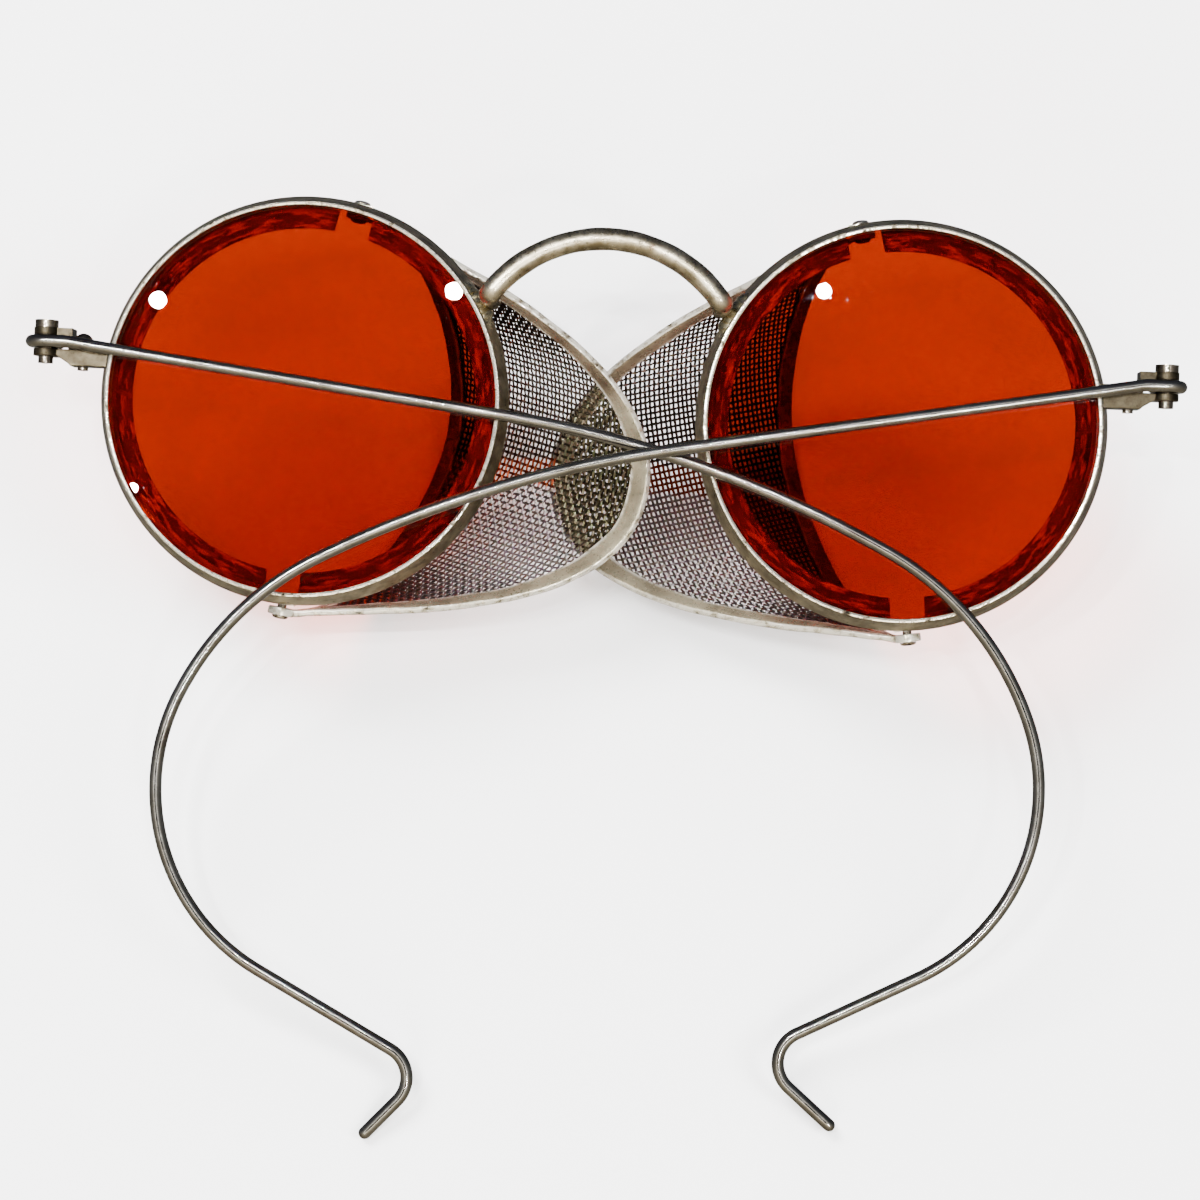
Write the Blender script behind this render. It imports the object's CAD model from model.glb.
# %% [markdown]
# # Folding safety spectacles with wire gauze side shields
# The measured model is loaded first and never moved. Each piece below is then made
# over it with finer shapes and worn, aged finishes, and rides on the same body.

# %% Load the measured model
import math

import bpy
import numpy as np
from mathutils import Matrix, Vector


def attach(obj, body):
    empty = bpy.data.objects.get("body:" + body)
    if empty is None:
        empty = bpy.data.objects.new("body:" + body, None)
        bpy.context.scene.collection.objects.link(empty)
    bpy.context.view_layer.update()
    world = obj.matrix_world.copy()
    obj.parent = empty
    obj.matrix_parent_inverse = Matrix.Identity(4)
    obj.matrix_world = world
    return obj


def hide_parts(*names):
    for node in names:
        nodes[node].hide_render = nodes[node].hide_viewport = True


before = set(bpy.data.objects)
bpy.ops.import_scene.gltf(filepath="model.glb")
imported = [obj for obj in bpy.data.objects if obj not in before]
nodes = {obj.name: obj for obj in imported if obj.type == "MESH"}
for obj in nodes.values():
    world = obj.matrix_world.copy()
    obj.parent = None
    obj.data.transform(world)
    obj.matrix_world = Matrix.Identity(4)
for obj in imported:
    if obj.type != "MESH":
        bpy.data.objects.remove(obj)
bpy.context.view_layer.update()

print("pieces of the measured model:", len(nodes))

# %% [markdown]
# ## One frame to draw in
# It is easiest to draw spectacles in the plane of their lenses: X to the right, Y up to the
# bridge, Z to the front, in millimetres, with zero at the front edge of the rims. The real
# pair lies leaned back on a table, so one matrix carries every drawn point to its place.

# %% From the lens frame to the table
MM = 0.001
LEAN, ROLL, RAISED = math.radians(18.90), math.radians(-2.34), (-0.03, 29.20, 26.606)
REST = (Matrix.Scale(MM, 4) @ Matrix.Translation(RAISED)
        @ Matrix.Rotation(LEAN, 4, "X") @ Matrix.Rotation(ROLL, 4, "Y"))
LENS_X = 36.2
LEFT, RIGHT = 0, 1
SIDES = ((LEFT, "left"), (RIGHT, "right"))


def settle(obj, side=LEFT):
    """Carry a piece that was drawn on the left to its place on the table."""
    flip = Matrix.Scale(-1, 4, (1, 0, 0)) if side == RIGHT else Matrix.Identity(4)
    obj.data.transform(REST @ flip @ obj.matrix_world)
    obj.matrix_world = Matrix.Identity(4)
    if side == RIGHT:
        obj.data.flip_normals()
    obj.data.update()


print("the lens plane leans", round(math.degrees(LEAN), 1), "degrees")

# %% [markdown]
# ## The camera
# The two rims are circles of one size, so their outlines in the photograph give the place
# of the camera. It looks nearly square at the lens plane from 35 cm away.

# %% Camera
PHOTO_PX, FOCAL_PX, SENSOR_MM = 1200, 2921.98, 36.0
SHIFT, TURN_Z, TURN_Y, TURN_X = (0.1536, 22.677, -350.927), -0.0427, -0.0274, -0.0017
lens_to_cam = (Matrix.Translation(SHIFT) @ Matrix.Rotation(TURN_Z, 4, "Z")
               @ Matrix.Rotation(TURN_Y, 4, "Y") @ Matrix.Rotation(TURN_X, 4, "X"))
cam_data = bpy.data.cameras.new("camera")
cam_data.sensor_width = SENSOR_MM
cam_data.sensor_fit = "HORIZONTAL"
cam_data.lens = FOCAL_PX / PHOTO_PX * SENSOR_MM
cam_data.clip_start = 0.01
camera = bpy.data.objects.new("camera", cam_data)
bpy.context.scene.collection.objects.link(camera)
seen_from = REST @ lens_to_cam.inverted()
camera.matrix_world = Matrix.LocRotScale(seen_from.to_translation(), seen_from.to_quaternion(), (1, 1, 1))
bpy.context.scene.camera = camera
print("camera at", [round(c, 3) for c in camera.location])

# %% [markdown]
# ## Helpers for nodes
# Every finish below, and the light of the room, is made of nodes. By hand they are added in
# the shader editor and joined by dragging a wire from socket to socket. These helpers do the
# same with one short entry for a node and one for a wire.

# %% Nodes, wires and ramps
def node(tree, kind, **values):
    """A new node with its fields set; in_3=0.5 sets the input with the number 3."""
    n = tree.nodes.new(kind)
    for key, value in values.items():
        if key.startswith("in_"):
            n.inputs[int(key[3:])].default_value = value
        else:
            setattr(n, key, value)
    return n


def link(tree, *wires):
    """Join sockets: every wire is (node, output, node, input)."""
    for source, out, target, into in wires:
        tree.links.new(source.outputs[out], target.inputs[into])


def colour_ramp(tree, stops):
    """A colour ramp with these stops, each (place, colour)."""
    n = node(tree, "ShaderNodeValToRGB")
    elements = n.color_ramp.elements
    for which, (place, colour) in ((0, stops[0]), (1, stops[-1])):
        elements[which].position, elements[which].color = place, (*colour, 1)
    for place, colour in stops[1:-1]:
        elements.new(place).color = (*colour, 1)
    return n


def new_material(name):
    """A material with nodes, its tree and its shader."""
    mat = bpy.data.materials.new(name)
    mat.use_nodes = True
    return mat, mat.node_tree, mat.node_tree.nodes["Principled BSDF"]

# %% [markdown]
# ## Floor and light
# A plain pale floor and large soft lamps from the sides. Polished wire would mirror a white
# floor and a big lamp all over and lose its shape, so these two light the scene but aren't
# mirrored. What the metal mirrors is the room: warm and fairly light on the near side, dim
# and bluish on the far side, and dark behind the camera, so that the flat lenses stay deep
# orange. A narrow bright ring round that dark place draws a white line along every wire, and
# four small round lamps near the camera give the white spots in the lenses. Two small
# strong lamps stand just where the flat lenses can't show them, and put small highlights on
# the round wires.

# %% Floor
bpy.ops.object.select_all(action="DESELECT")
bpy.ops.mesh.primitive_plane_add(size=4, location=(0, 0, 0))
floor = bpy.context.object
floor.name = "floor"
floor_mat, _, floor_shader = new_material("pale_floor")
floor_shader.inputs["Base Color"].default_value = (0.93, 0.93, 0.935, 1)
floor_shader.inputs["Roughness"].default_value = 0.9
floor.data.materials.append(floor_mat)
floor.visible_glossy = False


# %% Lamps
def lamp(name, where, power, size, aim=(0, 0, 0.02), shape="SQUARE", mirrored=False):
    """An area lamp that looks at a point."""
    data = bpy.data.lights.new(name, "AREA")
    data.energy, data.size, data.shape = power, size, shape
    obj = bpy.data.objects.new(name, data)
    bpy.context.scene.collection.objects.link(obj)
    obj.location = where
    obj.rotation_euler = (Vector(aim) - Vector(where)).to_track_quat("-Z", "Y").to_euler()
    obj.visible_glossy = mirrored


lamp("key", (-0.55, 0.55, 0.9), 38, 0.5)
lamp("fill", (0.75, -0.1, 0.8), 22, 0.5)
lamp("back", (0.0, 0.95, 0.45), 13, 0.6)
lamp("front", (-0.25, -0.85, 0.5), 12, 0.5)

# %% Small lamps that are mirrored
GLASS_FRONT, SPOT_AWAY = -1.2, 0.45
SPOTS = (("round_1", 158, 300, 16, 0.7), ("round_2", 454, 291, 17, 0.7),
         ("round_3", 133, 488, 9, 0.3), ("round_4", 824, 291, 14, 0.6))
GLINTS = (("glint_1", (-0.27, 0.25, 0.93)), ("glint_2", (0.25, -0.26, 0.93)))
GLINT_AWAY, GLINT_POWER, GLINT_SIZE = 1.2, 4, 0.05


def spot_in_lens(name, px, py, width_px, power):
    """A round lamp whose mirror image in the lenses is at this pixel of the photograph."""
    cam_to_lens = lens_to_cam.inverted()
    eye = cam_to_lens.to_translation()
    ray = cam_to_lens.to_3x3() @ Vector(((px - PHOTO_PX / 2) / FOCAL_PX, (PHOTO_PX / 2 - py) / FOCAL_PX, -1))
    ray *= (GLASS_FRONT - eye.z) / ray.z
    hit = eye + ray
    away = SPOT_AWAY / MM
    place = hit + Vector((ray.x, ray.y, -ray.z)).normalized() * away
    size = width_px / FOCAL_PX * (ray.length + away) * MM
    lamp(name, REST @ place, power, size, aim=REST @ hit, shape="DISK", mirrored=True)


for spot in SPOTS:
    spot_in_lens(*spot)
for name, way in GLINTS:
    start = REST @ Vector((0, 0, 0))
    place = start + (REST.to_3x3() @ Vector(way)).normalized() * GLINT_AWAY
    lamp(name, place, GLINT_POWER, GLINT_SIZE, aim=start, shape="DISK", mirrored=True)

# %% The room
# Each number pair is a place between the back and the front of the room, and its grey.
GREYS = ((0.25, 0.25), (0.58, 0.36), (0.80, 0.70), (0.912, 0.90), (0.926, 6), (0.938, 6),
         (0.950, 0.1), (0.966, 0.012))
BLUER = 1.02
world = bpy.data.worlds.new("studio")
bpy.context.scene.world = world
world.use_nodes = True
room = world.node_tree
w_coord = node(room, "ShaderNodeTexCoord")
w_front, w_up = [node(room, "ShaderNodeVectorMath", operation="DOT_PRODUCT", in_1=REST.to_3x3() @ Vector(axis))
                 for axis in ((0, 0, 1 / MM), (0, 1 / MM, 0))]
w_grey = colour_ramp(room, [(0.0, (0.21, 0.21, 0.215)), *((place, (g, g, g * BLUER)) for place, g in GREYS),
                            (1.0, (0.012, 0.012, 0.013))])
w_side = node(room, "ShaderNodeMapRange", in_1=-0.7, in_2=0.7)
w_tint = colour_ramp(room, [(0.0, (2.1, 1.85, 1.35)), (0.5, (1.0, 0.99, 0.96)), (1.0, (0.34, 0.37, 0.45))])
w_both = node(room, "ShaderNodeMix", data_type="RGBA", blend_type="MULTIPLY", in_0=1.0)
link(room, (w_coord, "Generated", w_front, 0), (w_coord, "Generated", w_up, 0),
     (w_front, "Value", w_grey, 0), (w_up, "Value", w_side, 0), (w_side, 0, w_tint, 0),
     (w_grey, 0, w_both, 6), (w_tint, 0, w_both, 7), (w_both, 2, room.nodes["Background"], "Color"))
print("the room has", len(GREYS) + 2, "steps of grey")

# %% [markdown]
# ## Shared effects
# Old nickel and steel share two things: cloudy patches where the plating has dulled, and
# small dark pits. Each is a node group, so every metal can use it at its own scale.


# %% A helper for node groups
def group(name, inputs, outputs):
    """An empty node group with these sockets: (name, kind, default)."""
    tree = bpy.data.node_groups.new(name, "ShaderNodeTree")
    for label, kind, default in inputs:
        socket = tree.interface.new_socket(name=label, in_out="INPUT", socket_type=kind)
        if default is not None:
            socket.default_value = default
    for label, kind in outputs:
        tree.interface.new_socket(name=label, in_out="OUTPUT", socket_type=kind)
    return tree, tree.nodes.new("NodeGroupInput"), tree.nodes.new("NodeGroupOutput")


COLOR, FLOAT = "NodeSocketColor", "NodeSocketFloat"

# %% Cloudy patches and pits
patina, p_in, p_out = group(
    "patina",
    [("Bright", COLOR, (0.6, 0.57, 0.48, 1)), ("Dull", COLOR, (0.3, 0.27, 0.2, 1)),
     ("Stain", COLOR, (0.1, 0.07, 0.05, 1)), ("Patch Scale", FLOAT, 260.0), ("Pit Scale", FLOAT, 1500.0),
     ("Pit Amount", FLOAT, 0.5), ("Rough Low", FLOAT, 0.22), ("Rough High", FLOAT, 0.5)],
    [("Color", COLOR), ("Roughness", FLOAT), ("Height", FLOAT)])
PIT_COLOUR, FINER, RELIEF = (0.02, 0.015, 0.01, 1), 4.5, 0.35
coord = node(patina, "ShaderNodeTexCoord")
cloud = node(patina, "ShaderNodeTexNoise", in_3=6.0, in_4=0.62)
fine = node(patina, "ShaderNodeTexNoise", in_3=4.0)
stain_noise = node(patina, "ShaderNodeTexNoise", in_3=5.0)
pits = node(patina, "ShaderNodeTexVoronoi", feature="F1")
fine_scale = node(patina, "ShaderNodeMath", operation="MULTIPLY", in_1=FINER)
cloud_ramp = node(patina, "ShaderNodeMapRange", in_1=0.36, in_2=0.66)
fine_ramp = node(patina, "ShaderNodeMapRange", in_1=0.3, in_2=0.75)
stain_ramp = node(patina, "ShaderNodeMapRange", in_1=0.60, in_2=0.74)
pit_ramp = node(patina, "ShaderNodeMapRange", in_1=0.10, in_2=0.30, in_3=1.0, in_4=0.0)
pit_some = node(patina, "ShaderNodeMapRange", in_1=0.48, in_2=0.60)
pit_gate = node(patina, "ShaderNodeMath", operation="MULTIPLY")
pit_amount = node(patina, "ShaderNodeMath", operation="MULTIPLY")
mix_dull = node(patina, "ShaderNodeMix", data_type="RGBA")
mix_stain = node(patina, "ShaderNodeMix", data_type="RGBA")
mix_pit = node(patina, "ShaderNodeMix", data_type="RGBA", in_7=PIT_COLOUR)
rough = node(patina, "ShaderNodeMapRange")
relief = node(patina, "ShaderNodeMath", operation="MULTIPLY", in_1=RELIEF)
height = node(patina, "ShaderNodeMath", operation="SUBTRACT")
link(patina, *((coord, "Object", target, "Vector") for target in (cloud, fine, pits, stain_noise)),
     (p_in, "Patch Scale", cloud, "Scale"), (p_in, "Patch Scale", fine_scale, 0), (fine_scale, 0, fine, "Scale"),
     (p_in, "Patch Scale", stain_noise, "Scale"), (p_in, "Pit Scale", pits, "Scale"),
     (cloud, "Fac", cloud_ramp, 0), (fine, "Fac", fine_ramp, 0), (fine, "Fac", pit_some, 0),
     (stain_noise, "Color", stain_ramp, 0), (pits, "Distance", pit_ramp, 0),
     (pit_ramp, 0, pit_gate, 0), (pit_some, 0, pit_gate, 1),
     (pit_gate, 0, pit_amount, 0), (p_in, "Pit Amount", pit_amount, 1),
     (cloud_ramp, 0, mix_dull, 0), (p_in, "Bright", mix_dull, 6), (p_in, "Dull", mix_dull, 7),
     (stain_ramp, 0, mix_stain, 0), (mix_dull, 2, mix_stain, 6), (p_in, "Stain", mix_stain, 7),
     (pit_amount, 0, mix_pit, 0), (mix_stain, 2, mix_pit, 6),
     (fine_ramp, 0, rough, 0), (p_in, "Rough Low", rough, 3), (p_in, "Rough High", rough, 4),
     (fine, "Fac", relief, 0), (relief, 0, height, 0), (pit_amount, 0, height, 1),
     (mix_pit, 2, p_out, "Color"), (rough, 0, p_out, "Roughness"), (height, 0, p_out, "Height"))

# %% [markdown]
# Worn edges: the front edge of a rim and the fold of a binding are rubbed bright and nicked.
# Each piece carries a number called edge on its points, 1 on the worn edge and 0 away from
# it. The group breaks that band up with noise, so that the bright line comes and goes, and
# leaves short black nicks in it where dirt has settled.

# %% Worn edges
SHINE, SCAR, SHINE_ROUGH = (0.80, 0.75, 0.63, 1), (0.02, 0.016, 0.012, 1), 0.14
worn, w_in, w_out = group("worn_edge", [("Color", COLOR, (0.5, 0.5, 0.5, 1)), ("Roughness", FLOAT, 0.4)],
                          [("Color", COLOR), ("Roughness", FLOAT)])
edge_value = node(worn, "ShaderNodeAttribute", attribute_name="edge", attribute_type="GEOMETRY")
nick_coord = node(worn, "ShaderNodeTexCoord")
nick = node(worn, "ShaderNodeTexNoise", in_2=900.0, in_3=5.0, in_4=0.7)
edge_ramp = node(worn, "ShaderNodeMapRange", in_1=0.35, in_2=0.8)
nick_ramp = node(worn, "ShaderNodeMapRange", in_1=0.41, in_2=0.52)
scar_ramp = node(worn, "ShaderNodeMapRange", in_1=0.34, in_2=0.40, in_3=1.0, in_4=0.0)
shine = node(worn, "ShaderNodeMath", operation="MULTIPLY")
scar = node(worn, "ShaderNodeMath", operation="MULTIPLY")
shine_mix = node(worn, "ShaderNodeMix", data_type="RGBA", in_7=SHINE)
scar_mix = node(worn, "ShaderNodeMix", data_type="RGBA", in_7=SCAR)
rough_mix = node(worn, "ShaderNodeMix", data_type="FLOAT", in_3=SHINE_ROUGH)
link(worn, (nick_coord, "Object", nick, "Vector"), (edge_value, "Fac", edge_ramp, 0),
     (nick, "Fac", nick_ramp, 0), (nick, "Fac", scar_ramp, 0),
     (edge_ramp, 0, shine, 0), (nick_ramp, 0, shine, 1), (edge_ramp, 0, scar, 0), (scar_ramp, 0, scar, 1),
     (shine, 0, shine_mix, 0), (w_in, "Color", shine_mix, 6), (scar, 0, scar_mix, 0), (shine_mix, 2, scar_mix, 6),
     (shine, 0, rough_mix, 0), (w_in, "Roughness", rough_mix, 2),
     (scar_mix, 2, w_out, "Color"), (rough_mix, 0, w_out, "Roughness"))
print("node groups:", [g.name for g in bpy.data.node_groups])

# %% [markdown]
# ## Metals
# All the metals are the same recipe with other values: patches and pits, then worn edges,
# then a shallow bump. What differs is the colour, the scale and how dull the metal is.

# %% A metal from the shared effects
def patches(tree, bright, dull, stain, patch, pit, rough=(0.22, 0.5), pit_scale=1500):
    """The patina group in this tree, with its values."""
    old = node(tree, "ShaderNodeGroup", node_tree=patina)
    for label, value in (("Bright", (*bright, 1)), ("Dull", (*dull, 1)), ("Stain", (*stain, 1)),
                         ("Patch Scale", patch), ("Pit Scale", pit_scale), ("Pit Amount", pit),
                         ("Rough Low", rough[0]), ("Rough High", rough[1])):
        old.inputs[label].default_value = value
    return old


def metal(name, *colours, bump=0.12, deep=0.0002, metallic=1.0, **values):
    """A worn metal from its bright, dull and stain colours and the values of its patches."""
    mat, tree, shader = new_material(name)
    shader.inputs["Metallic"].default_value = metallic
    old = patches(tree, *colours, **values)
    rub = node(tree, "ShaderNodeGroup", node_tree=worn)
    dent = node(tree, "ShaderNodeBump")
    dent.inputs["Strength"].default_value = bump
    dent.inputs["Distance"].default_value = deep
    link(tree, (old, "Color", rub, "Color"), (old, "Roughness", rub, "Roughness"),
         (rub, "Color", shader, "Base Color"), (rub, "Roughness", shader, "Roughness"),
         (old, "Height", dent, "Height"), (dent, "Normal", shader, "Normal"))
    return mat


# %% The metals of this pair
rim_metal = metal("aged_rim_nickel", (0.50, 0.435, 0.31), (0.19, 0.155, 0.10), (0.04, 0.03, 0.018),
                  patch=330, pit=0.9, rough=(0.34, 0.50))
flange_metal = metal("glinting_flange", (0.98, 0.86, 0.60), (0.60, 0.42, 0.24), (0.16, 0.08, 0.04),
                     patch=230, pit=0.15, rough=(0.10, 0.22), bump=1.0, deep=0.0015)
bridge_metal = metal("mottled_bridge_nickel", (0.72, 0.64, 0.47), (0.27, 0.225, 0.14), (0.14, 0.055, 0.03),
                     patch=420, pit=0.6, rough=(0.24, 0.40))
solder_metal = metal("pale_solder", (0.66, 0.59, 0.40), (0.24, 0.20, 0.11), (0.03, 0.02, 0.008),
                     patch=500, pit=0.7, rough=(0.22, 0.42), bump=0.5)
binding_metal = metal("binding_sheet", (0.27, 0.22, 0.145), (0.095, 0.068, 0.042), (0.06, 0.022, 0.011),
                      patch=220, pit=0.6, rough=(0.2, 0.40), metallic=0.7)
block_metal = metal("block_nickel", (0.085, 0.070, 0.044), (0.03, 0.024, 0.015), (0.015, 0.01, 0.006),
                    patch=520, pit=0.6, rough=(0.34, 0.5), bump=0.08)
screw_metal = metal("dark_screw_steel", (0.36, 0.31, 0.24), (0.12, 0.10, 0.075), (0.015, 0.011, 0.008),
                    patch=600, pit=0.5, rough=(0.12, 0.28), bump=0.03)
wire_metal = metal("temple_wire_steel", (0.30, 0.29, 0.265), (0.205, 0.192, 0.165), (0.07, 0.05, 0.03),
                   patch=240, pit=0.4, pit_scale=2200, rough=(0.12, 0.24), bump=0.04)
print("metals:", [m.name for m in bpy.data.materials if m.name != "pale_floor"])

# %% [markdown]
# In the photograph the flange behind each lens shows light and dark streaks that run round
# the rim. What causes them can't be seen. A mirror behind deep orange glass would lose its
# light twice over, so the light streaks are made dull and pale instead of shiny. Noise on
# Object coordinates has no direction round a rim, so the rim's points carry their place along
# the circle and across it, and the noise reads that, stretched five times along the circle.

# %% Streaks round the flange
STRETCH = 5
ft = flange_metal.node_tree
f_place = node(ft, "ShaderNodeAttribute", attribute_name="round_rim", attribute_type="GEOMETRY")
f_streak = node(ft, "ShaderNodeTexNoise", in_2=1300.0, in_3=4.0, in_4=0.6)
f_dull = node(ft, "ShaderNodeMapRange", in_1=0.50, in_2=0.62, in_3=0.92, in_4=0.05)
link(ft, (f_place, "Vector", f_streak, "Vector"), (f_streak, "Fac", f_dull, 0),
     (f_dull, 0, ft.nodes["Principled BSDF"], "Metallic"))


def mark_round_rim(rim):
    """Store each point's place along the circle, shortened, and its radius, in metres."""
    values = []
    for v in rim.data.vertices:
        x, y = v.co.x + LENS_X, v.co.y
        values += [math.atan2(y, x) * FRONT_R * MM / STRETCH, math.hypot(x, y) * MM, 0.0]
    rim.data.attributes.new("round_rim", "FLOAT_VECTOR", "POINT").data.foreach_set("vector", values)


# %% [markdown]
# ## Orange glass
# The lenses are flat orange glass. Light must pass through them to the floor and the gauze
# behind, so shadow rays go through a tinted clear shader instead of stopping at the glass.

# %% Lens glass
glass, gt, g_shader = new_material("orange_glass")
for label, value in (("Transmission Weight", 1.0), ("Metallic", 0.0), ("IOR", 1.5)):
    g_shader.inputs[label].default_value = value
g_coord = node(gt, "ShaderNodeTexCoord")
g_split = node(gt, "ShaderNodeSeparateXYZ")
g_cloud = node(gt, "ShaderNodeTexNoise", in_2=35.0, in_3=3.0)
g_dust = node(gt, "ShaderNodeTexNoise", in_2=2600.0, in_3=2.0)
g_rise = node(gt, "ShaderNodeMapRange", in_1=0.006, in_2=0.034)
g_blend = node(gt, "ShaderNodeMix", data_type="FLOAT", in_0=0.25)
g_mix = node(gt, "ShaderNodeMix", data_type="RGBA",
             in_6=(0.110, 0.0035, 0.0002, 1), in_7=(0.138, 0.0061, 0.0001, 1))
g_dust_ramp = node(gt, "ShaderNodeMapRange", in_1=0.66, in_2=0.80, in_3=0.0, in_4=0.05)
g_clear = node(gt, "ShaderNodeBsdfTransparent", in_0=(0.88, 0.28, 0.02, 1))
g_path = node(gt, "ShaderNodeLightPath")
g_either = node(gt, "ShaderNodeMixShader")
link(gt, (g_coord, "Object", g_cloud, "Vector"), (g_coord, "Object", g_dust, "Vector"),
     (g_coord, "Object", g_split, 0), (g_split, "Y", g_rise, 0), (g_rise, 0, g_blend, 2),
     (g_cloud, "Fac", g_blend, 3), (g_blend, 0, g_mix, 0), (g_mix, 2, g_shader, "Base Color"),
     (g_dust, "Fac", g_dust_ramp, 0), (g_dust_ramp, 0, g_shader, "Roughness"),
     (g_path, "Is Shadow Ray", g_either, 0), (g_shader, 0, g_either, 1), (g_clear, 0, g_either, 2),
     (g_either, 0, gt.nodes["Material Output"], "Surface"))


# %% [markdown]
# ## Tools for making pieces
# A rim or a lens is turned: a half section is drawn like a pen line and spun round an axis.
# A wire or a folded sheet is a row of rings, each laid square to its path and joined to the
# next. Both helpers below give a closed mesh with its faces outwards.

# %% Drawing helpers
def add_mesh(name, points, faces, edge=None):
    """A mesh object from points and faces, with an optional edge value per point."""
    mesh = bpy.data.meshes.new(name)
    mesh.from_pydata([tuple(p) for p in points], [], faces)
    if edge is not None:
        mesh.attributes.new("edge", "FLOAT", "POINT").data.foreach_set("value", list(edge))
    obj = bpy.data.objects.new(name, mesh)
    bpy.context.scene.collection.objects.link(obj)
    return obj


def pick(obj):
    """Make one object the only one selected, and active."""
    bpy.ops.object.select_all(action="DESELECT")
    obj.select_set(True)
    bpy.context.view_layer.objects.active = obj


def in_edit_mode(obj, *steps):
    """Run mesh tools on the whole object, as by hand in edit mode."""
    pick(obj)
    bpy.ops.object.mode_set(mode="EDIT")
    for step in steps:
        bpy.ops.mesh.select_all(action="SELECT")
        step()
    bpy.ops.object.mode_set(mode="OBJECT")


def face_outwards():
    """Turn the normals of the chosen faces outwards."""
    bpy.ops.mesh.normals_make_consistent(inside=False)


def turned(name, outline, steps, edge):
    """A closed outline of (radius, height) spun round the Z axis into a solid."""
    n = len(outline)
    obj = add_mesh(name, [(r, 0, z) for r, z in outline], [], edge)
    obj.data.edges.add(n)
    obj.data.edges.foreach_set("vertices", [v for i in range(n) for v in (i, (i + 1) % n)])
    in_edit_mode(obj,
                 lambda: bpy.ops.mesh.spin(steps=steps, angle=2 * math.pi, center=(0, 0, 0), axis=(0, 0, 1)),
                 lambda: bpy.ops.mesh.remove_doubles(threshold=0.0005),
                 face_outwards)
    return obj


def skinned(name, rings, edge=None):
    """A tube through rings of points, capped at its ends."""
    m, n = len(rings), len(rings[0])
    points = [p for ring in rings for p in ring]
    faces = []
    for j in range(m - 1):
        for i in range(n):
            a, b = j * n + i, j * n + (i + 1) % n
            faces.append((a, b, b + n, a + n))
    faces += [tuple(range(n - 1, -1, -1)), tuple((m - 1) * n + i for i in range(n))]
    obj = add_mesh(name, points, faces, edge)
    in_edit_mode(obj, face_outwards)
    return obj


def smooth(obj, angle):
    """Smooth shading that leaves edges sharper than the angle sharp."""
    pick(obj)
    bpy.ops.object.shade_smooth_by_angle(angle=math.radians(angle))


def cut(obj, cutter):
    """Take the cutter away from the object, and then remove the cutter."""
    pick(obj)
    mod = obj.modifiers.new("cut", "BOOLEAN")
    mod.object, mod.operation, mod.solver = cutter, "DIFFERENCE", "EXACT"
    bpy.ops.object.modifier_apply(modifier=mod.name)
    bpy.data.objects.remove(cutter)


def joined(*parts):
    """Several objects as one."""
    pick(parts[0])
    for p in parts[1:]:
        p.select_set(True)
    bpy.ops.object.join()
    return parts[0]


def finish_piece(obj, name, side, angle, mat, body, slot, *stands_for):
    """Place a drawn piece and give it its name, shading, material, body, slot and nodes."""
    settle(obj, side)
    obj.name = name
    if angle is not None:
        smooth(obj, angle)
    if mat is not None:
        obj.data.materials.clear()
        obj.data.materials.append(mat)
    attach(obj, body)
    if stands_for:
        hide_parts(*stands_for)
    print(f"{obj.name}: {sum(len(p.vertices) - 2 for p in obj.data.polygons)} triangles")


# %% [markdown]
# ## Eyewires
# Each rim is a strip of sheet metal, a little wider at the back, with a flange turned in
# behind the lens. Its front edge is rubbed bright. The flange is cut away at the two pivots,
# and two tabs stand back there to hold the shield's rivets. It is split at its block.

# %% Values of the eyewires
FRONT_R, REAR_R, DEPTH, SHEET, FLANGE = 23.9, 24.9, 3.6, 0.5, 4.0
SEAT_Z = -DEPTH + SHEET
PIVOT_TILT, PIVOT_OFFSET, PIVOT_DEPTH = math.radians(8.9), 2.0, 4.9
TAB_IN = math.sqrt((REAR_R - SHEET) ** 2 - PIVOT_OFFSET ** 2)
TAB_OUT = math.sqrt(REAR_R ** 2 - PIVOT_OFFSET ** 2)
NOTCH_SIZE, NOTCH_R, NOTCH_Z, NOTCH_ROUND = (4.4, 4.3, 1.9), 22.2, -3.8, 0.5
SPLIT_SIZE, SPLIT_PLACE = (6, 0.4, 5), (-REAR_R + 2, 4.87, -1.8)
TAB_R, STREAK_LOW, STREAK_HIGH, STREAK_R = 1.6, -3.3, -3.0, 23.5


def to_pivot(x, y, z, angle=0.0):
    """A point of a shield's own frame, swung by an angle, in the lens frame (left side)."""
    px, pz = x * math.cos(angle) + z * math.sin(angle), -x * math.sin(angle) + z * math.cos(angle)
    px += PIVOT_OFFSET
    return Vector((-LENS_X + px * math.cos(PIVOT_TILT) + y * math.sin(PIVOT_TILT),
                   -px * math.sin(PIVOT_TILT) + y * math.cos(PIVOT_TILT), pz - PIVOT_DEPTH))


# %% One eyewire
def cutting_box(size, place, turn=0.0):
    """A box to cut with, its size and turn applied, and picked."""
    bpy.ops.object.select_all(action="DESELECT")
    bpy.ops.mesh.primitive_cube_add(size=1, location=place, rotation=(0, 0, turn), scale=size)
    box = bpy.context.object
    pick(box)
    bpy.ops.object.transform_apply(location=True, rotation=True, scale=True)
    return box


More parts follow.
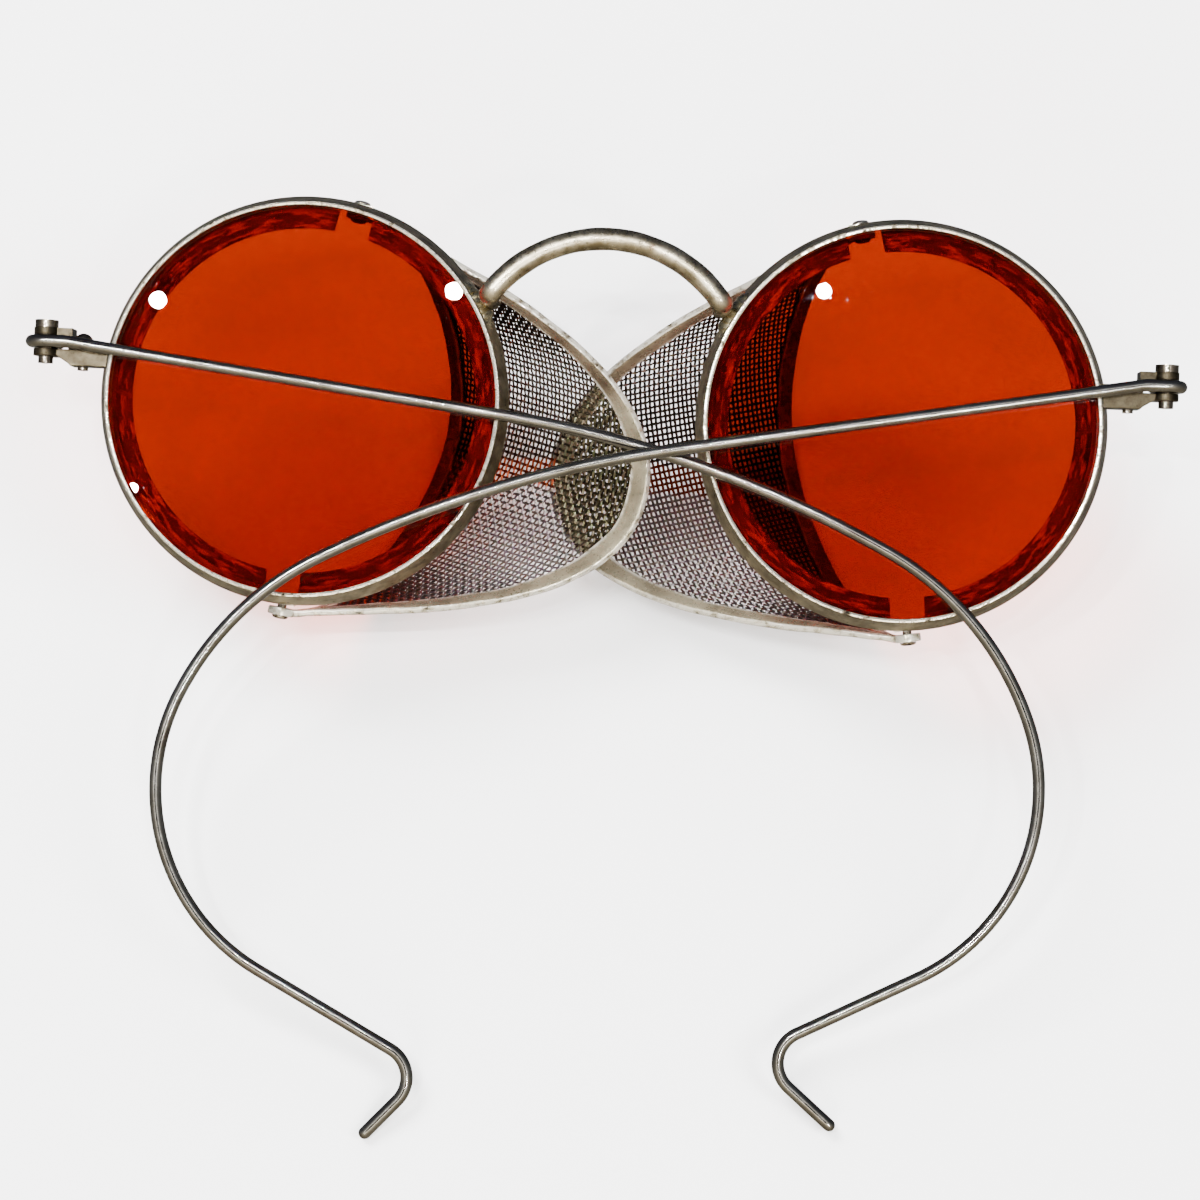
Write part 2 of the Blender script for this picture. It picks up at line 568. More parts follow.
def eyewire():
    """A rim turned round the origin, notched at the pivots, split, and moved to the left."""
    inner = REAR_R - FLANGE
    wall = [(FRONT_R - 0.50, -0.10), (FRONT_R - 0.42, -0.02), (FRONT_R - 0.22, 0.03), (FRONT_R - 0.06, 0.0),
            (FRONT_R + 0.03, -0.12), (FRONT_R + 0.16, -0.6), (FRONT_R + 0.5, -1.8), (REAR_R - 0.10, -3.1),
            (REAR_R, -3.42), (REAR_R - 0.03, -3.56), (REAR_R - 0.16, -DEPTH), (REAR_R - 1.4, -DEPTH),
            (inner + 0.16, -DEPTH), (inner + 0.02, -3.54), (inner, -3.35), (inner + 0.02, -3.16),
            (inner + 0.15, SEAT_Z), (REAR_R - 2.0, SEAT_Z), (REAR_R - SHEET - 0.14, SEAT_Z),
            (FRONT_R - 0.05, -1.6)]
    wear = [0.0, 0.7, 1, 0.85, 0.3, 0.0, 0, 0, 0.5, 0.3, 0, 0, 0.5, 0.8, 1, 0.8, 0.4, 0, 0, 0]
    obj = turned("rim", wall, 220, wear)
    for up in (1, -1):
        a = math.pi / 2 * up - PIVOT_TILT - up * math.asin(PIVOT_OFFSET / TAB_IN)
        box = cutting_box(NOTCH_SIZE, (NOTCH_R * math.cos(a), NOTCH_R * math.sin(a), NOTCH_Z), a)
        rounding = box.modifiers.new("round", "BEVEL")
        rounding.width, rounding.segments = NOTCH_ROUND, 4
        bpy.ops.object.modifier_apply(modifier=rounding.name)
        cut(obj, box)
    cut(obj, cutting_box(SPLIT_SIZE, SPLIT_PLACE))
    obj.data.transform(Matrix.Translation((-LENS_X, 0, 0)))
    return obj


def pivot_tab(up):
    """A flat rounded tab on the pivot line, from the rim's rear edge back past the rivet."""
    outline = [(TAB_R, TAB_R), (TAB_R, 0.0)]
    outline += [(TAB_R * math.cos(t), -TAB_R * math.sin(t)) for t in np.linspace(0.15, math.pi - 0.15, 22)]
    outline += [(-TAB_R, 0.0), (-TAB_R, TAB_R)]
    near, far = TAB_IN + 0.02, TAB_OUT - 0.02
    levels = [(near, 0.93), (near + 0.08, 1.0), (far - 0.08, 1.0), (far, 0.93)]
    rings = [[to_pivot(x * k, up * level, z * k if z < 1 else z) for x, z in outline] for level, k in levels]
    edge = [1.0 if k < 1 else 0.5 for _, k in levels for _ in outline]
    return skinned("tab", rings, edge)


# %% Both eyewires
for side, word in SIDES:
    rim = joined(eyewire(), pivot_tab(1), pivot_tab(-1))
    rim.data.materials.append(rim_metal)
    rim.data.materials.append(flange_metal)
    for face in rim.data.polygons:
        off = face.center - Vector((-LENS_X, 0, 0))
        if face.normal.z > 0.5 and STREAK_LOW < off.z < STREAK_HIGH and off.xy.length < STREAK_R:
            face.material_index = 1
    mark_round_rim(rim)
    finish_piece(rim, f"{word}_rim", side, 20, None, "frame", "nickel_metal", f"{word}_eyewire")

# %% [markdown]
# ## Lenses
# A flat disc of glass with a ground bevel, lying on the flange.

# %% Lenses
LENS_R, LENS_T, LENS_GAP, GRIND = 23.66, 1.86, 0.03, 0.28
for side, word in SIDES:
    bpy.ops.object.select_all(action="DESELECT")
    bpy.ops.mesh.primitive_cylinder_add(vertices=192, radius=LENS_R, depth=LENS_T,
                                        location=(-LENS_X, 0, SEAT_Z + LENS_GAP + LENS_T / 2))
    disc = bpy.context.object
    in_edit_mode(disc, lambda: bpy.ops.mesh.bevel(offset=GRIND, segments=2, affect="EDGES"))
    bpy.ops.object.transform_apply(location=True)
    finish_piece(disc, f"{word}_glass", side, 8, glass, "frame", "lens_glass", f"{word}_lens")

# %% [markdown]
# ## Bridge
# A half-round bar bent into an arch. Each end turns back beside the rim and is soldered to
# it. The bar is drawn as rings along its path, with a flat back and a round front.

# %% The bar's path
ARCH_R, ARCH_Y, ARCH_HALF, ARCH_Z = 17.1, 3.3, math.radians(51.6), 2.2
BAR_W, BAR_T, FOOT_R, FOOT_LOW = 2.7, 1.6, 0.5, -2.6


def half_round(w, t, n=14):
    """Section of the bar: (across, out from its flat side, edge value)."""
    r = (w * w / 4 + t * t) / (2 * t)
    half = math.asin(w / 2 / r)
    pts = [(r * math.sin(a), t - r + r * math.cos(a), 0.0) for a in np.linspace(-half, half, n)]
    pts[0], pts[-1] = (pts[0][0], 0.18, 0.9), (pts[-1][0], 0.18, 0.9)
    return pts + [(w / 2 - 0.12, 0, 0.4), (0, 0, 0), (-w / 2 + 0.12, 0, 0.4)]


def bar_rings():
    """Rings from the left foot over the arch to the right foot."""
    rings, edge = [], []
    section = half_round(BAR_W, BAR_T)

    def ring(origin, across, out, swell=1.0):
        rings.append([origin + across * (u * swell) + out * (v * swell) for u, v, _ in section])
        edge.extend(e for _, _, e in section)

    def end(sign):
        a = math.pi / 2 + sign * ARCH_HALF
        radial = Vector((math.cos(a), math.sin(a), 0))
        along = Vector((-math.sin(a), math.cos(a), 0)) * sign
        top = Vector((ARCH_R * math.cos(a), ARCH_Y + ARCH_R * math.sin(a), ARCH_Z))
        down = Vector((0, 0, -1))
        rows = []
        for t in np.linspace(0, math.pi / 2, 7)[1:]:
            centre = top + down * FOOT_R
            rows.append((centre + along * (FOOT_R * math.sin(t)) - down * (FOOT_R * math.cos(t)),
                         radial, along * math.sin(t) - down * math.cos(t)))
        foot = top + along * FOOT_R
        for z in (ARCH_Z - 1.2, 0.3, -0.9, FOOT_LOW):
            rows.append((Vector((foot.x, foot.y, z)), radial, along))
        return rows

    for origin, radial, out in reversed(end(1)):
        ring(origin, radial, out)
    for a in np.linspace(math.pi / 2 + ARCH_HALF, math.pi / 2 - ARCH_HALF, 60):
        radial = Vector((math.cos(a), math.sin(a), 0))
        wobble = 1 + 0.015 * math.sin(a * 9) + 0.01 * math.sin(a * 23 + 1)
        ring(Vector((0, ARCH_Y, ARCH_Z)) + radial * ARCH_R, radial, Vector((0, 0, 1)), wobble)
    for origin, radial, out in end(-1):
        ring(origin, radial, out)
    return rings, edge


bar = skinned("bridge_bar", *bar_rings())
finish_piece(bar, "bridge_bar", LEFT, 50, bridge_metal, "frame", "nickel_metal", "bridge")


# %% Solder at the feet
SOLDER_SPAN, SOLDER_RINGS, SOLDER_SWELL, SUNK = 0.135, 34, 1.15, 0.02


def solder(side):
    """A flowed fillet of solder along the rim, on both sides of the bar's foot."""
    foot = math.atan2(ARCH_Y + ARCH_R * math.cos(ARCH_HALF), LENS_X - ARCH_R * math.sin(ARCH_HALF)) - 0.01
    rng = np.random.RandomState(4 + side)
    rings, edge = [], []
    for t in np.linspace(-1, 1, SOLDER_RINGS):
        a = foot + t * SOLDER_SPAN
        bulge = max(0.05, 1 - abs(t) ** 1.6) * (1 + 0.25 * math.sin(9 * t + side))
        top = -0.45 - 0.5 * t ** 2 + 0.12 * rng.randn()
        low = -2.75 + 0.25 * abs(t)
        ring = []
        for z, out in ((top, 0.0), (top - 0.1, 0.45), (top - 0.6, 0.9), (-1.6, 1.0), (low + 0.4, 0.9),
                       (low, 0.3), (low, 0.0)):
            wall = FRONT_R + (REAR_R - FRONT_R) * -z / DEPTH
            r = wall - SUNK + SOLDER_SWELL * out * bulge
            ring.append(Vector((-LENS_X + r * math.cos(a), r * math.sin(a), z)))
            edge.append(0.4 if 0 < out < 1 else 0)
        rings.append(ring)
    return skinned("solder", rings, edge)


for side, word in SIDES:
    finish_piece(solder(side), f"{word}_solder", side, 50, solder_metal, "frame", "nickel_metal")


# %% [markdown]
# ## Blocks and screws
# The closing blocks and the screws are small machined pieces whose measured shapes are
# already right, so they keep them. The blocks get a fine bevel, and their edges catch the
# light. The measured meshes come with their faces apart at every sharp edge, and a bevel
# can't cross such a gap, so the corners are welded together first. On the screws a bevel
# took nothing off and left faults in the mesh, so their edges stay sharp.

# %% Finish of a measured node
BLOCK_BEVEL, BEVEL_ANGLE, WELD_REACH = 0.2 * MM, math.radians(35), 0.001 * MM


def dress(name, mat, bevel=0.0):
    """Give a measured solid its material and, if it has a bevel, rounded edges."""
    obj = nodes[name]
    if bevel:
        weld = obj.modifiers.new("weld", "WELD")
        weld.merge_threshold = WELD_REACH
        mod = obj.modifiers.new("bevel", "BEVEL")
        mod.width, mod.segments = bevel, 3
        mod.limit_method, mod.angle_limit = "ANGLE", BEVEL_ANGLE
    obj.data.materials.clear()
    obj.data.materials.append(mat)


for side, word in SIDES:
    for part in ("block_upper", "block_lower"):
        dress(f"{word}_{part}", block_metal, BLOCK_BEVEL)
    for part in ("closing_screw", "hinge_screw"):
        dress(f"{word}_{part}", screw_metal)
print("dressed blocks and screws")

# %% [markdown]
# ## Temples
# Each temple is one piece of wire: a loop round the hinge screw, a long straight run, three
# slow bends round the ear, and a sharp bend back to a short rounded tip. A list of lengths
# and bends is walked along to give the path, and rings are laid square to it.

# %% Values of the temples
WIRE_R, HINGE, LOOP_R = 0.75, (67.5, 5.7, -0.8), 1.73
TEMPLES = {
    LEFT: dict(droop=7.25, straight=56.9, bends=(20.0, 42.0, 83.5), tail=15.8, tip_bend=112.5, tip=6.6, lift=0.0),
    RIGHT: dict(droop=10.25, straight=60.0, bends=(18.2, 36.6, 86.6), tail=18.4, tip_bend=104.4, tip=5.4,
                lift=1.65),
}
STUB, DROOP_RUN, BENDS_R, TIP_R = 2.4, 0.6, (138.5, 36.9, 25.0), 3.9
LOOP_FROM, LOOP_RINGS, ROUND = math.radians(-255), 50, 20
TIP_ANGLES = (20, 40, 58, 72, 83)


def temple_path(v):
    """Points of the wire in its own plane, from the top of the loop on."""
    pts, p, heading = [Vector((0, 0))], Vector((0, 0)), 0.0

    def walk(length, bend_deg, sign, step):
        """Go on by a length while turning by an angle, in short steps."""
        nonlocal p, heading
        n = max(2, math.ceil(length / step))
        for _ in range(n):
            heading -= sign * math.radians(bend_deg) / n / 2
            p = p + Vector((math.cos(heading), math.sin(heading))) * (length / n)
            heading -= sign * math.radians(bend_deg) / n / 2
            pts.append(p.copy())

    walk(STUB, 0, 1, 0.6)
    walk(DROOP_RUN, v["droop"], 1, 0.1)
    walk(v["straight"] - STUB - DROOP_RUN, 0, 1, 2.5)
    for r, b in zip(BENDS_R, v["bends"]):
        walk(r * math.radians(b), b, 1, 1.5 if r > 50 else 0.9)
    walk(v["tail"], 0, 1, 2)
    walk(TIP_R * math.radians(v["tip_bend"]), v["tip_bend"], -1, 0.35)
    walk(v["tip"], 0, 1, 0.8)
    return pts


# %% Lay rings along the wire
def circle(centre, one, two, r):
    """Points round a centre, in the plane of two directions."""
    turns = [2 * math.pi * k / ROUND for k in range(ROUND)]
    return [centre + one * (r * math.cos(a)) + two * (r * math.sin(a)) for a in turns]


def temple(side):
    """A temple wire at its hinge: the loop, the run and the rounded tip."""
    v = TEMPLES[side]
    path = [Vector((LOOP_R * math.sin(a), 0, LOOP_R * math.cos(a)))
            for a in np.linspace(LOOP_FROM, 0, LOOP_RINGS)[:-1]]
    path += [Vector((q.x, q.y, LOOP_R)) for q in temple_path(v)]
    rings = []
    across = Vector((0, 1, 0))
    for i, p in enumerate(path):
        t = (path[min(i + 1, len(path) - 1)] - path[max(i - 1, 0)]).normalized()
        across = (across - t * across.dot(t)).normalized()
        rings.append(circle(p, across, t.cross(across).normalized(), WIRE_R))
    t = (path[-1] - path[-2]).normalized()
    across = (across - t * across.dot(t)).normalized()
    for a in map(math.radians, TIP_ANGLES):
        rings.append(circle(path[-1] + t * (WIRE_R * math.sin(a)), across, t.cross(across), WIRE_R * math.cos(a)))
    obj = skinned("wire", rings)
    lift = Matrix.Rotation(math.radians(-v["lift"]), 4, "Y")
    obj.data.transform(Matrix.Translation((-HINGE[0], HINGE[1], HINGE[2])) @ lift)
    return obj


for side, word in SIDES:
    finish_piece(temple(side), f"{word}_wire", side, 60, wire_metal, f"{word}_temple_wire",
                 "temple_steel", f"{word}_temple")

# %% [markdown]
# ## The shields' shape
# Each shield is bounded by two curves from the upper pivot to the lower one: the outer edge,
# which meets the face, and the inner one, which meets the rim. They lie in two planes that
# meet in the pivot line. The same curves carry the bindings and the cloth between them.

# %% Curves of a shield
WEDGE = [math.radians(50), math.radians(48.5)]
FOLD = [math.radians(4.6), math.radians(16.6)]
OUTER_REACH, INNER_REACH = [41.0, 43.25], 24.5
EAR_R, EAR_T = 1.6, 0.96
TOP_EAR = TAB_IN - 0.38 - EAR_T / 2
BOTTOM_EAR = -(TAB_OUT + 0.38 + EAR_T / 2)
OUTER_CURVE = dict(rise=6.5, slope=math.radians(21), nose=17.8, apex=-2.8)
INNER_CURVE = dict(rise=11.0, slope=0.0, nose=11.0, apex=0.5)


def bezier(p, t):
    """A point of the cubic curve with these four control points."""
    weights = ((1 - t) ** 3, 3 * (1 - t) ** 2 * t, 3 * (1 - t) * t * t, t ** 3)
    return sum(q * w for q, w in zip(p, weights))


def band_point(s, reach, rise, slope, nose, apex):
    """A point of an edge curve; s runs from 0 at the upper ear to 1 at the lower one."""
    y0, sign = (TOP_EAR, -1) if s <= 0.5 else (BOTTOM_EAR, 1)
    start, tip = np.array((EAR_R, y0)), np.array((reach, apex))
    lean = np.array((rise * math.cos(slope), sign * rise * math.sin(slope)))
    return bezier([start, start + lean, tip - np.array((0, sign * nose)), tip], 2 * s if s <= 0.5 else 2 - 2 * s)


def outer_point(s, side):
    """A point of the edge that meets the face, in the shield's own frame."""
    x, y = band_point(s, OUTER_REACH[side], **OUTER_CURVE)
    return np.array((x, y, 0.0))


def inner_point(s, side):
    """A point of the edge that meets the rim, in the shield's own frame."""
    x, y = band_point(s, INNER_REACH, **INNER_CURVE)
    return np.array((x * math.cos(WEDGE[side]), y, -x * math.sin(WEDGE[side])))


def unit(v):
    """The same direction with length 1."""
    return v / np.linalg.norm(v)


def in_lens(p, side):
    """A shield point at its folded place, drawn on the left."""
    return to_pivot(p[0], p[1], p[2], FOLD[side])


# %% [markdown]
# ## Bindings
# A strip of thin sheet is folded over the cut edge of the cloth and pinched shut. The fold
# is round and rubbed bright, the lips are a little uneven, and near the pivots the strip is
# narrower and runs into a flat round ear with the rivet's hole.

# %% Section of the folded strip
FOLD_T, FOLD_SLIT, FOLD_DEEP = 0.9, 0.17, 0.22
OUTER_LIP, INNER_LIP, LIP_SHARE, STRIP_RINGS = 2.5, 1.85, 0.42, 230


def fold_section(w):
    """(across the cloth, along its normal, edge value) round the folded sheet."""
    h, g = FOLD_T / 2, FOLD_SLIT
    outside = [(w, h - 0.06, 1.0), (w - 0.05, h, 0.9), (w * 0.7, h * 1.02, 0.1), (w * 0.35, h * 1.03, 0.0),
               (0.05, h, 0.1), (-0.09, h * 0.8, 0.7), (-0.15, h * 0.42, 1.0)]
    inside = [(w, -g, 0.5), (w * 0.5, -g, 0), (FOLD_DEEP + 0.02, -g, 0)]
    return (outside + [(-0.165, 0, 1.0)] + [(u, -v, e) for u, v, e in reversed(outside)]
            + inside + [(FOLD_DEEP, 0, 0)] + [(u, -v, e) for u, v, e in reversed(inside)])


def binding(side, inner):
    """A folded strip along one edge, a little uneven in width, height and fold."""
    curve, other = (inner_point, outer_point) if inner else (outer_point, inner_point)
    first = 0.004 if inner else 0.0
    rings, edge = [], []
    phase = np.random.RandomState(11 + side + 2 * inner).rand(6) * 6.28
    for i in range(STRIP_RINGS + 1):
        s = first + (1 - 2 * first) * i / STRIP_RINGS
        c = curve(s, side)
        gap = other(s, side) - c
        across, width = unit(gap), np.linalg.norm(gap)
        run = unit(curve(min(1, s + 0.002), side) - curve(max(0, s - 0.002), side))
        normal = unit(np.cross(run, across))
        if inner:
            normal = -normal
        w = min(INNER_LIP if inner else OUTER_LIP, LIP_SHARE * width)
        w *= 1 + 0.035 * math.sin(31 * s + phase[0]) + 0.03 * math.sin(77 * s + phase[1])
        wave = 0.03 * math.sin(53 * s + phase[2]) + 0.02 * math.sin(118 * s + phase[3])
        dent = 1 - 0.05 * max(0, math.sin(67 * s + phase[4])) ** 3
        sec = fold_section(w)
        rings.append([in_lens(c + across * u + normal * (v * dent + wave), side) for u, v, _ in sec])
        edge.extend(e for _, _, e in sec)
    return skinned("strip", rings, edge)


# %% The flat ears at the pivots
EAR_HOLE = 0.61


def ear(side, y):
    """A flat round ear with the rivet's hole, square to the pivot line."""
    h = EAR_T / 2
    under = [(EAR_HOLE, -h), (EAR_R - 0.15, -h), (EAR_R - 0.03, -h + 0.05), (EAR_R, -h + 0.2)]
    disc = turned("ear", under + [(r, -z) for r, z in reversed(under)], 40, [0, 0.4, 1, 1, 1, 1, 0.4, 0])
    for v in disc.data.vertices:
        v.co = in_lens((v.co.x, y + v.co.z, v.co.y), side)
    in_edit_mode(disc, face_outwards)
    return disc


# %% [markdown]
# The strips are brown above and light khaki below, with a ragged border between the two. So
# the strip's metal gets a second set of patches, and the height of a point chooses the set.
# The skin on old plated sheet is dull, so not all of the look is that of bare metal.

# %% Brown above, khaki below
RAGGED, BORDER = 3.0, 3.0
bt = binding_metal.node_tree
b_old, b_rub = [n for n in bt.nodes if n.type == "GROUP"]
b_low = patches(bt, (0.42, 0.37, 0.25), (0.20, 0.17, 0.11), (0.08, 0.05, 0.03), patch=220, pit=0.6)
b_height = node(bt, "ShaderNodeAttribute", attribute_name="height", attribute_type="GEOMETRY")
b_coord = node(bt, "ShaderNodeTexCoord")
b_noise = node(bt, "ShaderNodeTexNoise", in_2=260.0, in_3=4.0)
b_ragged = node(bt, "ShaderNodeMapRange", in_3=-RAGGED, in_4=RAGGED)
b_sum = node(bt, "ShaderNodeMath", operation="ADD")
b_where = node(bt, "ShaderNodeMapRange", in_1=0.0, in_2=BORDER)
b_mix = node(bt, "ShaderNodeMix", data_type="RGBA")
link(bt, (b_coord, "Object", b_noise, "Vector"), (b_noise, "Fac", b_ragged, 0), (b_height, "Fac", b_sum, 0),
     (b_ragged, 0, b_sum, 1), (b_sum, 0, b_where, 0), (b_where, 0, b_mix, 0),
     (b_low, "Color", b_mix, 6), (b_old, "Color", b_mix, 7), (b_mix, 2, b_rub, "Color"))


def mark_height(obj, heights):
    """Store a height in millimetres on each point, for the materials to read."""
    obj.data.attributes.new("height", "FLOAT", "POINT").data.foreach_set("value", heights)


# %% The four strips
for side, word in SIDES:
    outer = joined(binding(side, False), ear(side, TOP_EAR), ear(side, BOTTOM_EAR))
    for strip, which in ((outer, "outer"), (binding(side, True), "inner")):
        heights = [v.co.y for v in strip.data.vertices]
        mark_height(strip, heights)
        print(which, "strip from", round(min(heights), 1), "to", round(max(heights), 1), "mm")
        finish_piece(strip, f"{word}_{which}_strip", side, 40, binding_metal, f"{word}_shield",
                     "nickel_metal", f"{word}_{which}_binding")

# %% [markdown]
# ## Wire gauze
# The cloth is woven flat and cut to shape, so its wires can't follow the two edges: they run
# straight where the strip is laid flat. The surface is unrolled into a plane, a grid of
# straight wires is laid on it, each passing over and under its neighbours, and the whole is
# rolled back. The wires running up the cloth stand closer, 0.62 mm, than those across it,
# 0.78 mm. Square tubes, 0.36 mm across their corners, are enough for such thin wire. Where
# two of them cross, they sink 0.12 mm into each other.

# %% Unroll the shield
PITCH_X, PITCH_Y, GAUZE_WIRE, WEAVE = 0.62, 0.78, 0.18, 0.12
ROWS, COLS, CELL, ENDS, INSET = 240, 48, 0.8, 0.012, 0.3


def unrolled(side):
    """Rulings of the surface in space and laid flat: A outer and B inner points."""
    a3, b3 = [], []
    for s in np.linspace(ENDS, 1 - ENDS, ROWS):
        a, b = outer_point(s, side), inner_point(s, side)
        g = unit(b - a)
        a3.append(a + g * INSET)
        b3.append(b - g * INSET)
    a3, b3 = np.array(a3), np.array(b3)

    def dist(p, q):
        """How far two points lie apart."""
        return np.linalg.norm(q - p)

    def third(p, q, dp, dq):
        """The flat point at these distances from two others, on their right side."""
        d = dist(p, q)
        x = (dp * dp - dq * dq + d * d) / (2 * d)
        y = math.sqrt(max(dp * dp - x * x, 0))
        ex = (q - p) / d
        return p + ex * x + np.array((ex[1], -ex[0])) * y

    a2, b2 = [np.zeros(2)], [np.array((dist(a3[0], b3[0]), 0.0))]
    for i in range(1, ROWS):
        b_new = third(a2[-1], b2[-1], dist(a3[i - 1], b3[i]), dist(b3[i - 1], b3[i]))
        a_new = third(a2[-1], b_new, dist(a3[i - 1], a3[i]), dist(b3[i], a3[i]))
        a2.append(a_new)
        b2.append(b_new)
    a2, b2 = np.array(a2), np.array(b2)
    mid = ROWS // 2
    along = unit(b2[mid] - a2[mid])
    turn = np.array(((along[0], along[1]), (-along[1], along[0])))
    a2, b2 = a2 @ turn.T, b2 @ turn.T
    centre = (a2[mid] + b2[mid]) / 2
    both = np.concatenate((a2, b2))
    print(f"{SIDES[side][1]} cloth laid flat: {np.ptp(both[:, 0]):.1f} x {np.ptp(both[:, 1]):.1f} mm")
    return a3, b3, a2 - centre, b2 - centre


# %% Lay the wires and roll the cloth back
def gauze(side):
    """The woven cloth of a shield, at its folded place on the left."""
    a3, b3, a2, b2 = unrolled(side)
    k = np.linspace(0, 1, COLS)
    flat = a2[:, None] * (1 - k)[None, :, None] + b2[:, None] * k[None, :, None]
    deep = a3[:, None] * (1 - k)[None, :, None] + b3[:, None] * k[None, :, None]
    lo, hi = flat.reshape(-1, 2).min(0), flat.reshape(-1, 2).max(0)
    d_s2, d_k2 = np.gradient(flat, axis=0), np.gradient(flat, axis=1)
    d_s3, d_k3 = np.gradient(deep, axis=0), np.gradient(deep, axis=1)
    bins = {}

    def bin_of(p):
        """The square cell that a flat point lies in."""
        return int((p[0] - lo[0]) // CELL), int((p[1] - lo[1]) // CELL)

    for r in range(ROWS):
        for c in range(COLS):
            bins.setdefault(bin_of(flat[r, c]), []).append((r, c))

    def lift(p):
        """The place in space of a flat point, and the surface's normal there, or None."""
        kx, ky = bin_of(p)
        near = [rc for dx in (-1, 0, 1) for dy in (-1, 0, 1) for rc in bins.get((kx + dx, ky + dy), ())]
        if not near:
            return None
        r, c = min(near, key=lambda rc: (flat[rc][0] - p[0]) ** 2 + (flat[rc][1] - p[1]) ** 2)
        m = np.array((d_s2[r, c], d_k2[r, c])).T
        u, w = np.linalg.solve(m, p - flat[r, c])
        if abs(u) > 1.5 or abs(w) > 1.5 or not 0 <= c + w <= COLS - 1 or not 0 <= r + u <= ROWS - 1:
            return None
        return deep[r, c] + u * d_s3[r, c] + w * d_k3[r, c], unit(np.cross(d_s3[r, c], d_k3[r, c]))

    points, faces = [], []
    reach = np.abs(np.concatenate((lo, hi))).max()
    lines = int(reach / PITCH_X) + 1

    def tube(run):
        """A square tube along a run of (place, normal), if it is long enough."""
        if len(run) < 3:
            return
        base = len(points)
        for i, (p, n) in enumerate(run):
            t = unit(run[min(i + 1, len(run) - 1)][0] - run[max(i - 1, 0)][0])
            b = np.cross(n, t)
            for du, dv in ((1, 0), (0, 1), (-1, 0), (0, -1)):
                points.append(in_lens(p + n * (du * GAUZE_WIRE) + b * (dv * GAUZE_WIRE), side))
        for i in range(len(run) - 1):
            for q in range(4):
                a, b = base + 4 * i + q, base + 4 * i + (q + 1) % 4
                faces.append((a, b, b + 4, a + 4))
        end = base + 4 * (len(run) - 1)
        faces.append((base + 3, base + 2, base + 1, base))
        faces.append((end, end + 1, end + 2, end + 3))

    for warp in (0, 1):
        step, beat = (PITCH_X, PITCH_Y) if warp else (PITCH_Y, PITCH_X)
        for i in range(-lines, lines + 1):
            run = []
            for j in range(-2 * lines, 2 * lines + 1):
                slack = 0.03 * math.sin(i * 1.7 + j * 0.11) + 0.05 * math.sin(i * 0.37 + j * 0.05)
                u, v = i * step + slack, j * beat / 2
                found = lift(np.array((u, v) if warp else (v, u)))
                if found is None:
                    tube(run)
                    run = []
                    continue
                wave = 0.0 if j % 2 else WEAVE * (1 if (i + j // 2 + warp) % 2 else -1)
                p, n = found
                run.append((p + n * wave, n))
            tube(run)
    return add_mesh("cloth", points, faces)


# %% [markdown]
# The cloth is dark above, reddish in one band across its middle, pale silver below, and
# olive near the nose, where the two shields overlap. The zones' places are known in the lens
# frame, so each point carries its height there, and a number past the top for olive.

# %% Gauze material
LOWEST, HIGHEST, OVERLAP = -14.0, 34.0, 33.0
SILVER, RED, DARK, OLIVE = (0.25, 0.21, 0.205), (0.235, 0.046, 0.016), (0.055, 0.038, 0.028), (0.15, 0.13, 0.08)
ZONES = ((0.103, SILVER), (0.117, RED), (0.180, RED), (0.190, DARK), (0.88, DARK), (0.95, OLIVE))
gauze_mat, zt, z_shader = new_material("woven_wire")
z_shader.inputs["Metallic"].default_value = 1.0
z_height = node(zt, "ShaderNodeAttribute", attribute_name="height", attribute_type="GEOMETRY")
z_coord = node(zt, "ShaderNodeTexCoord")
z_noise = node(zt, "ShaderNodeTexNoise", in_2=300.0, in_3=4.0)
z_shift = node(zt, "ShaderNodeMapRange", in_3=-0.9, in_4=0.9)
z_sum = node(zt, "ShaderNodeMath", operation="ADD")
z_zone = node(zt, "ShaderNodeMapRange", in_1=LOWEST, in_2=HIGHEST)
z_ramp = colour_ramp(zt, ZONES)
z_fine = node(zt, "ShaderNodeTexNoise", in_2=1700.0, in_3=3.0)
z_rough = node(zt, "ShaderNodeMapRange", in_3=0.2, in_4=0.5)
z_dirt = node(zt, "ShaderNodeMix", data_type="RGBA", blend_type="MULTIPLY", in_0=0.6)
link(zt, (z_coord, "Object", z_noise, "Vector"), (z_coord, "Object", z_fine, "Vector"),
     (z_noise, "Fac", z_shift, 0), (z_height, "Fac", z_sum, 0), (z_shift, 0, z_sum, 1),
     (z_sum, 0, z_zone, 0), (z_zone, 0, z_ramp, 0), (z_ramp, 0, z_dirt, 6), (z_fine, "Color", z_dirt, 7),
     (z_dirt, 2, z_shader, "Base Color"), (z_fine, "Fac", z_rough, 0), (z_rough, 0, z_shader, "Roughness"))

# %% [markdown]
# The other shield is this one mirrored, so a point lies over it when it is nearer to the
# middle than the mirrored edge at the same height.

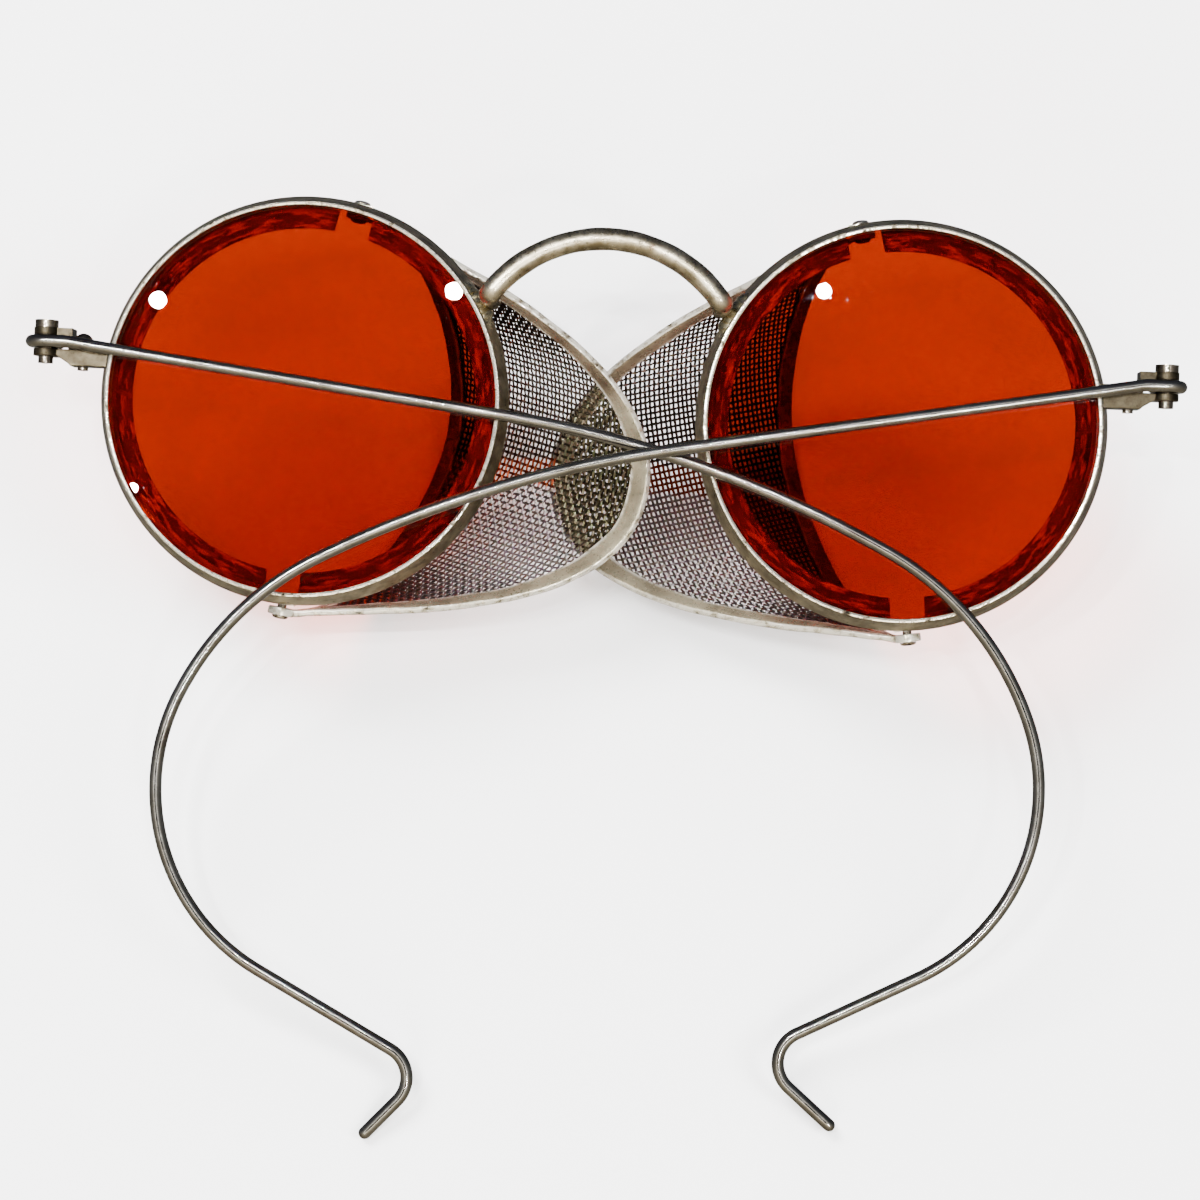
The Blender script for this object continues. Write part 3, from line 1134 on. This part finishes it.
# %% Where the shields overlap, and both cloths
EDGE = sorted((p.y, p.x) for p in (in_lens(outer_point(i / 200, LEFT), LEFT) for i in range(201)))
EDGE_Y, EDGE_X = zip(*EDGE)


def in_overlap(p):
    """Whether a point of the folded cloth lies over the other shield."""
    return p.x > -np.interp(p.y, EDGE_Y, EDGE_X)


print("the edge reaches", round(max(EDGE_X), 1), "mm, from", round(EDGE_Y[0], 1), "to", round(EDGE_Y[-1], 1))
for side, word in SIDES:
    cloth = gauze(side)
    mark_height(cloth, [OVERLAP if in_overlap(v.co) else v.co.y for v in cloth.data.vertices])
    finish_piece(cloth, f"{word}_cloth", side, None, gauze_mat, f"{word}_shield", "gauze_wire", f"{word}_gauze")


# %% [markdown]
# ## Pivot rivets
# Plain rivets with low round heads, one at each end of both pivot lines.

# %% Rivets
SHANK_R, HEAD_R, HEAD_T, OVER, UNDER = 0.55, 1.0, 0.4, 0.16, 0.06


def rivet(low, high):
    """A rivet along the pivot line, between two heights."""
    r, head, t = SHANK_R, HEAD_R, HEAD_T
    outline = [(0.0, low), (head * 0.55, low + 0.03), (head * 0.85, low + 0.12), (head, low + t - 0.08),
               (head, low + t), (r, low + t), (r, high - t), (head, high - t), (head, high - t + 0.08),
               (head * 0.85, high - 0.12), (head * 0.55, high - 0.03), (0.0, high)]
    obj = turned("rivet", outline, 36, [0.6, 0.5, 0.7, 1, 0.2, 0, 0, 0.2, 1, 0.7, 0.5, 0.6])
    for v in obj.data.vertices:
        v.co = to_pivot(v.co.x, v.co.z, -v.co.y)
    return obj


for side, word in SIDES:
    pair = joined(*(rivet(under - EAR_T / 2 - UNDER - HEAD_T, over + OVER + HEAD_T)
                    for under, over in ((TOP_EAR, TAB_OUT), (BOTTOM_EAR, -TAB_IN))))
    finish_piece(pair, f"{word}_rivets", side, 45, screw_metal, "frame", "dark_screws", f"{word}_pivot_rivets")

# %% [markdown]
# ## Measure and close
# The dressed model must stay within the measured one's box, so both are written down.

bpy.context.view_layer.update()
